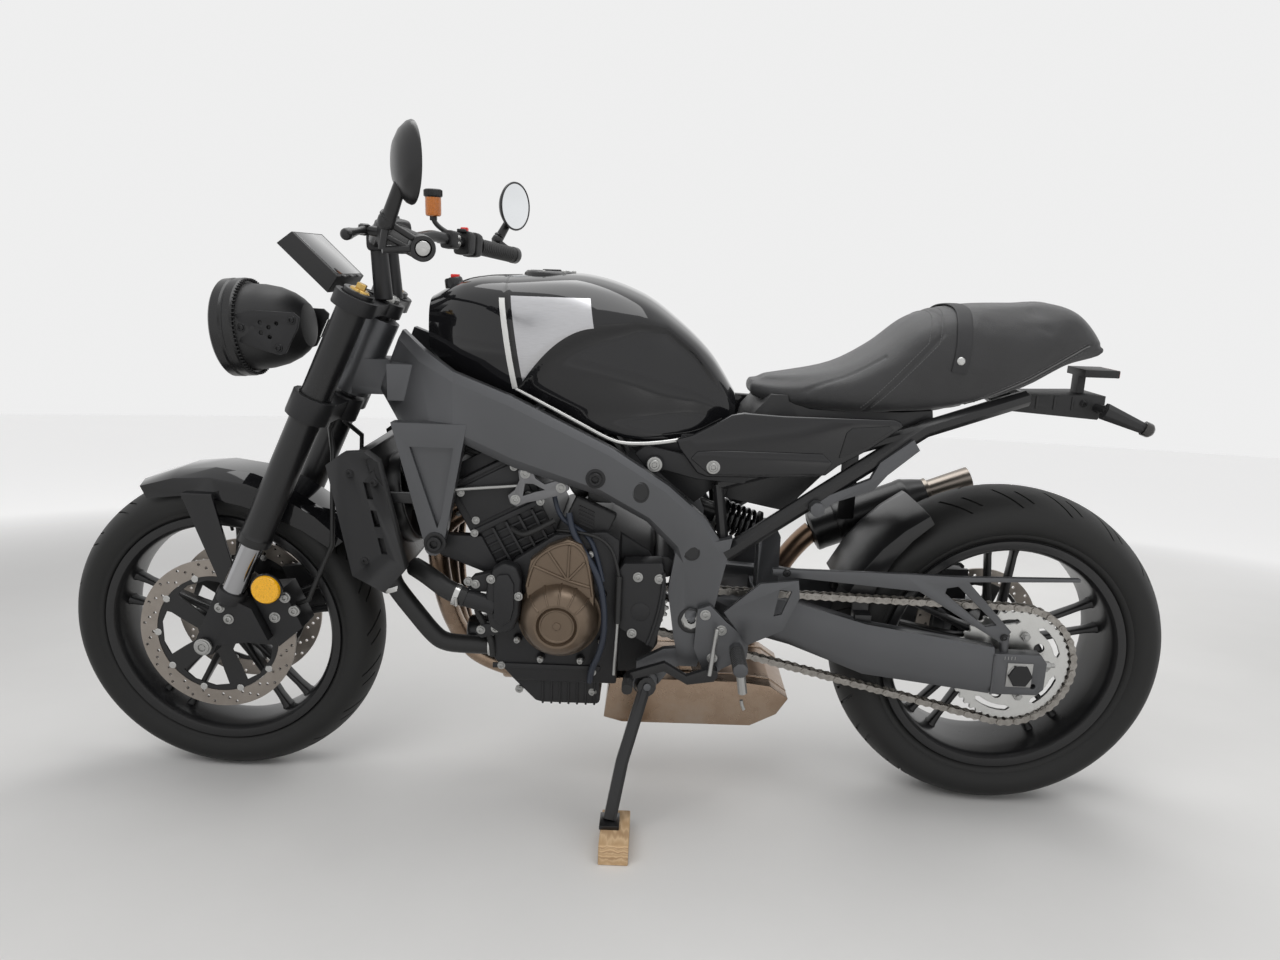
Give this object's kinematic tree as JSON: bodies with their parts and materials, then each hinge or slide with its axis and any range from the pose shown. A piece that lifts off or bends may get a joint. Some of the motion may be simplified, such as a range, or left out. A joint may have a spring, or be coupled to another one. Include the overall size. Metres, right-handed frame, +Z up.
{
  "type": "motorcycle",
  "caption": "Cafe racer motorcycle leaning on its side stand, with open engine, twin front discs, chain drive, low bar, round headlamp and stepped seat.",
  "frame": {"origin": "on the ground, at the centre of the footprint", "axes": "+Z up; -X is the machine's front; -Y its left side, towards which it leans on its stand"},
  "size_m": [2.1051, 0.9822, 1.2317],
  "materials": {
    "tyre_rubber": "matte, moulded",
    "black_paint": "gloss black",
    "dark_grey_paint": "matte dark grey",
    "black_metal": "satin black",
    "disc_steel": "brushed, heat-toned",
    "chain_steel": "oiled steel",
    "sprocket_steel": "brushed steel",
    "engine_alloy": "painted castings, satin",
    "bronze_cover": "satin bronze",
    "exhaust_steel": "heat-toned steel",
    "silencer_black": "matte black",
    "black_plastic": "matte, fine grain",
    "seat_vinyl": "textured, stitched",
    "hose_rubber": "matte",
    "alloy": "satin",
    "lamp_black": "gloss",
    "pine": "sawn, unfinished"
  },
  "bodies": {
    "chassis": {"main_frame": "dark_grey_paint", "subframe": "dark_grey_paint", "swingarm": "dark_grey_paint", "axle_blocks": "dark_grey_paint", "rear_axle": "alloy", "rear_shock": "black_metal", "engine_case": "engine_alloy", "cylinder_bank": "engine_alloy", "engine_covers": "bronze_cover", "oil_pan": "engine_alloy", "sprocket_cover": "black_plastic", "radiator": "black_metal", "radiator_covers": "black_plastic", "coolant_hoses": "hose_rubber", "exhaust_headers": "exhaust_steel", "muffler_box": "exhaust_steel", "silencer": "silencer_black", "fuel_tank": "black_paint", "seat": "seat_vinyl", "side_covers": "lamp_black", "under_seat_box": "black_plastic", "rear_hugger": "black_plastic", "chain_guard": "black_plastic", "tail_bracket": "black_plastic", "foot_rests": "black_metal", "foot_controls": "alloy", "rear_caliper": "black_metal", "drive_chain": "chain_steel", "wood_block": "pine"},
    "steering": {"triple_clamps": "black_metal", "fork_legs": "black_metal", "handlebar": "black_metal", "bar_controls": "black_plastic", "mirrors": "black_plastic", "headlight": "lamp_black", "display": "black_plastic", "front_fender": "lamp_black", "front_calipers": "black_metal", "brake_reservoir": "black_plastic", "brake_hoses": "hose_rubber"},
    "front_wheel": {"front_tyre": "tyre_rubber", "front_rim": "black_metal", "front_discs": "disc_steel"},
    "rear_wheel": {"rear_tyre": "tyre_rubber", "rear_rim": "black_metal", "rear_sprocket": "sprocket_steel", "rear_disc": "disc_steel"},
    "side_stand": {"side_stand": "black_metal"}
  },
  "joints": [
    {"name": "steering_turn", "type": "hinge", "parent": "chassis", "child": "steering", "pos_m": [-0.47173, 0.03533, 0.83193], "axis": [0.4226, -0.1089, 0.8997], "range_deg": [-30, 30]},
    {"name": "front_wheel_spin", "type": "hinge", "parent": "steering", "child": "front_wheel", "pos_m": [-0.7545, 0.09996, 0.29783], "axis": [0, 0.9928, 0.1201], "continuous": true},
    {"name": "rear_wheel_spin", "type": "hinge", "parent": "chassis", "child": "rear_wheel", "pos_m": [0.7405, 0.09816, 0.31272], "axis": [0, 0.9928, 0.1201], "continuous": true},
    {"name": "side_stand_fold", "type": "hinge", "parent": "chassis", "child": "side_stand", "pos_m": [0.066, -0.05329, 0.24906], "axis": [0.2709, -0.9598, 0.0735], "range_deg": [0, 110]}
  ]
}
